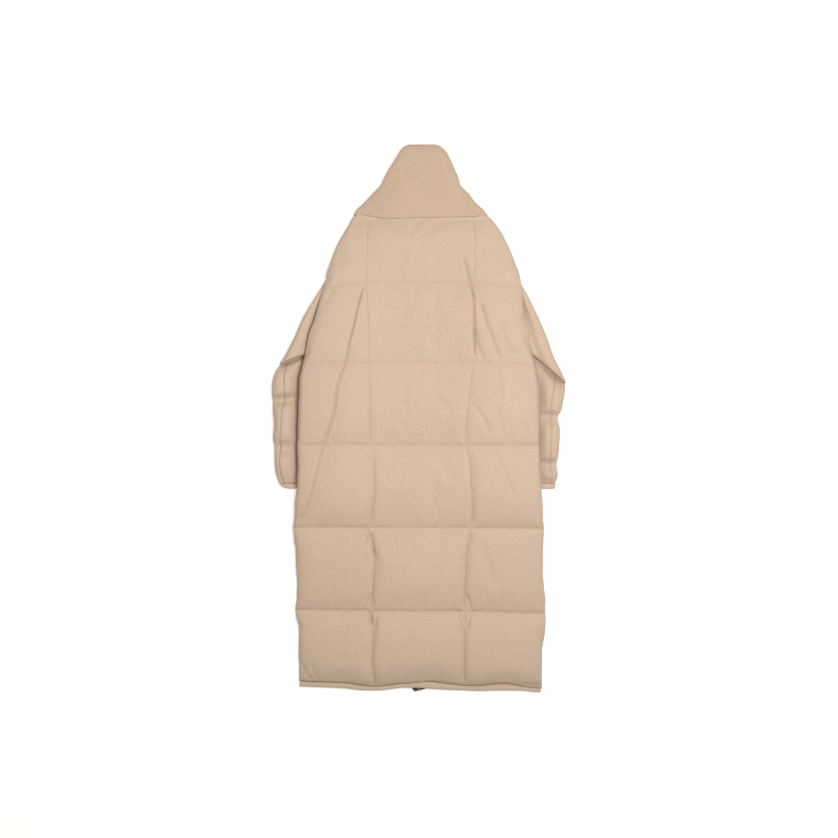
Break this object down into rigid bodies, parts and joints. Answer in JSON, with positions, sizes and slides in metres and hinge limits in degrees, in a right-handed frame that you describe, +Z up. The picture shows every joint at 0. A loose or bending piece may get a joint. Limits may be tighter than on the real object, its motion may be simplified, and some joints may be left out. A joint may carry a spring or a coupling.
{
  "type": "long puffer coat",
  "caption": "Long, quilted, down-filled coat with a deep turned-over collar, laid flat with its back up and its sleeves tucked under the body.",
  "frame": {"origin": "on the surface the coat lies on, under the middle of its outline", "axes": "+Z up, out of the surface; +Y along the back from the hem to the collar; +X to the right-hand side of the coat as it is worn, seen from behind"},
  "size_m": [0.724, 1.345, 0.0772],
  "materials": {
    "wool_shell": "matt brushed wool blend, lightly flecked",
    "zip_tape": "matt woven tape",
    "zip_teeth": "satin moulded teeth",
    "zip_metal": "satin, bronze coloured"
  },
  "bodies": {
    "root": {"back_centre": "wool_shell", "back_side_left": "wool_shell", "back_side_right": "wool_shell", "front_left": "wool_shell", "front_right": "wool_shell", "hem_back": "wool_shell", "hem_front_left": "wool_shell", "hem_front_right": "wool_shell", "sleeve_left_upper": "wool_shell", "sleeve_left_under": "wool_shell", "sleeve_right_upper": "wool_shell", "sleeve_right_under": "wool_shell", "cuff_left": "wool_shell", "cuff_right": "wool_shell", "collar_fall": "wool_shell", "collar_stand": "wool_shell", "zip_tape_left": "zip_tape", "zip_tape_right": "zip_tape", "zip_chain": "zip_teeth", "zip_slider": "zip_metal"},
    "pull": {"zip_pull": "zip_metal"}
  },
  "joints": [
    {"name": "pull_hinge", "type": "hinge", "parent": "root", "child": "pull", "pos_m": [0, 0.412, 0.0026], "axis": [1, 0, 0], "range_deg": [0, 150]}
  ]
}
